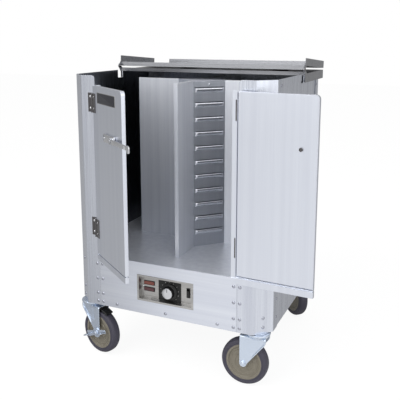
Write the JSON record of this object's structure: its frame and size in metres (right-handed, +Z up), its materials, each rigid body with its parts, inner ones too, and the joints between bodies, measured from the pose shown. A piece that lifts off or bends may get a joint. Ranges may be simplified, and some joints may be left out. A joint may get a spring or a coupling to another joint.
{
  "type": "plate dispenser cart",
  "caption": "Mobile heated plate cabinet: open-topped sheet metal body with front doors, folding top cover, louvred warm-air duct and divider fins, on swivel casters.",
  "frame": {"origin": "centre of the bounding box on the floor, with the doors and cover as they stand in the picture", "axes": "+Z up, -Y to the doors, +X to the right seen from the front"},
  "size_m": [0.9006, 0.8828, 1.0067],
  "materials": {
    "aluminium": "satin sheet",
    "black_plastic": "moulded",
    "chrome": "polished",
    "galvanised": "galvanised sheet",
    "hub": "moulded nylon",
    "lamp": "tinted lens",
    "motor_paint": "semi gloss",
    "nickel": "dull nickel",
    "steel": "satin",
    "tyre": "smooth dark grey rubber",
    "zinc": "bright zinc plate"
  },
  "bodies": {
    "cabinet": {"front_post_right": "aluminium", "front_post_left": "aluminium", "rear_post_right": "aluminium", "rear_post_left": "aluminium", "right_wall": "aluminium", "left_wall": "aluminium", "back_wall": "aluminium", "door_jamb_strips": "aluminium", "base_front_panel": "aluminium", "deck": "aluminium", "bottom_pan": "galvanised", "control_bezel": "aluminium", "dial_plate": "black_plastic", "thermostat": "black_plastic", "pilot_lamps": "lamp", "switch_body": "black_plastic", "air_duct": "aluminium", "duct_cap": "aluminium", "divider_fins": "aluminium", "blower_motor": "motor_paint", "blower_housing": "galvanised", "heater_element": "nickel", "power_inlet": "black_plastic", "fixed_hinge_leaves": "chrome", "caster_plates": "zinc", "body_rivets": "steel"},
    "fan_wheel": {"fan_wheel": "galvanised"},
    "knob": {"control_knob": "black_plastic"},
    "rocker": {"switch_rocker": "black_plastic"},
    "left_door": {"left_door_panel": "aluminium", "left_door_liner": "aluminium", "left_door_rail": "aluminium", "left_door_hinge_leaves": "chrome", "nameplate": "aluminium", "latch_base": "chrome"},
    "latch_lever": {"latch_lever": "chrome"},
    "right_door": {"right_door_panel": "aluminium", "right_door_liner": "aluminium", "right_door_rail": "aluminium", "right_door_hinge_leaves": "chrome", "strike_stud": "chrome"},
    "rear_cover": {"rear_cover": "aluminium", "cover_hinge_leaves": "chrome"},
    "front_cover": {"front_cover": "aluminium"},
    "caster_front_left": {"caster_fork_front_left": "zinc", "brake_shoe_front_left": "black_plastic"},
    "wheel_front_left": {"caster_tyre_front_left": "tyre", "caster_hub_front_left": "hub"},
    "brake_pedal_front_left": {"brake_pedal_front_left": "zinc"},
    "caster_front_right": {"caster_fork_front_right": "zinc"},
    "wheel_front_right": {"caster_tyre_front_right": "tyre", "caster_hub_front_right": "hub"},
    "caster_rear_left": {"caster_fork_rear_left": "zinc", "brake_shoe_rear_left": "black_plastic"},
    "wheel_rear_left": {"caster_tyre_rear_left": "tyre", "caster_hub_rear_left": "hub"},
    "brake_pedal_rear_left": {"brake_pedal_rear_left": "zinc"},
    "caster_rear_right": {"caster_fork_rear_right": "zinc"},
    "wheel_rear_right": {"caster_tyre_rear_right": "tyre", "caster_hub_rear_right": "hub"}
  },
  "joints": [
    {"name": "left_door_hinge", "type": "hinge", "parent": "cabinet", "child": "left_door", "pos_m": [-0.27742, -0.23524, 0.775], "axis": [0, 0, -1], "range_deg": [-37.2, 142.8]},
    {"name": "right_door_hinge", "type": "hinge", "parent": "cabinet", "child": "right_door", "pos_m": [0.20858, -0.23524, 0.775], "axis": [0, 0, 1], "range_deg": [-177.3, 2.7]},
    {"name": "latch_pivot", "type": "hinge", "parent": "left_door", "child": "latch_lever", "pos_m": [-0.14147, -0.35055, 0.775], "axis": [-0.6046, -0.7965, 0], "range_deg": [0, 75]},
    {"name": "rear_cover_hinge", "type": "hinge", "parent": "cabinet", "child": "rear_cover", "pos_m": [-0.03442, 0.37251, 0.9588], "axis": [-1, 0, 0], "range_deg": [0, 88]},
    {"name": "cover_fold", "type": "hinge", "parent": "rear_cover", "child": "front_cover", "pos_m": [-0.03442, 0.10801, 0.9695], "axis": [1, 0, 0], "range_deg": [0, 184.2]},
    {"name": "knob_turn", "type": "hinge", "parent": "cabinet", "child": "knob", "pos_m": [-0.02642, -0.20449, 0.269], "axis": [0, -1, 0], "range_deg": [-270, 0]},
    {"name": "rocker_tilt", "type": "hinge", "parent": "cabinet", "child": "rocker", "pos_m": [0.03959, -0.20099, 0.275], "axis": [1, 0, 0], "range_deg": [-20, 0]},
    {"name": "fan_spin", "type": "hinge", "parent": "cabinet", "child": "fan_wheel", "pos_m": [-0.03442, 0.07501, 0.259], "axis": [0, 0, 1], "continuous": true},
    {"name": "swivel_front_left", "type": "hinge", "parent": "cabinet", "child": "caster_front_left", "pos_m": [-0.33642, -0.18099, 0.182], "axis": [0, 0, 1], "continuous": true},
    {"name": "roll_front_left", "type": "hinge", "parent": "caster_front_left", "child": "wheel_front_left", "pos_m": [-0.29585, -0.19186, 0.0762], "axis": [0.2588, 0.9659, 0], "continuous": true},
    {"name": "brake_front_left", "type": "hinge", "parent": "caster_front_left", "child": "brake_pedal_front_left", "pos_m": [-0.29585, -0.19186, 0.0762], "axis": [0.2588, 0.9659, 0], "range_deg": [0, 25]},
    {"name": "swivel_front_right", "type": "hinge", "parent": "cabinet", "child": "caster_front_right", "pos_m": [0.26759, -0.18099, 0.182], "axis": [0, 0, 1], "continuous": true},
    {"name": "roll_front_right", "type": "hinge", "parent": "caster_front_right", "child": "wheel_front_right", "pos_m": [0.22559, -0.18099, 0.0762], "axis": [0, -1, 0], "continuous": true},
    {"name": "swivel_rear_left", "type": "hinge", "parent": "cabinet", "child": "caster_rear_left", "pos_m": [-0.33642, 0.33101, 0.182], "axis": [0, 0, 1], "continuous": true},
    {"name": "roll_rear_left", "type": "hinge", "parent": "caster_rear_left", "child": "wheel_rear_left", "pos_m": [-0.37588, 0.31664, 0.0762], "axis": [0.342, -0.9397, 0], "continuous": true},
    {"name": "brake_rear_left", "type": "hinge", "parent": "caster_rear_left", "child": "brake_pedal_rear_left", "pos_m": [-0.37588, 0.31664, 0.0762], "axis": [0.342, -0.9397, 0], "range_deg": [0, 25]},
    {"name": "swivel_rear_right", "type": "hinge", "parent": "cabinet", "child": "caster_rear_right", "pos_m": [0.26759, 0.33101, 0.182], "axis": [0, 0, 1], "continuous": true},
    {"name": "roll_rear_right", "type": "hinge", "parent": "caster_rear_right", "child": "wheel_rear_right", "pos_m": [0.23789, 0.36071, 0.0762], "axis": [-0.7071, -0.7071, 0], "continuous": true}
  ]
}
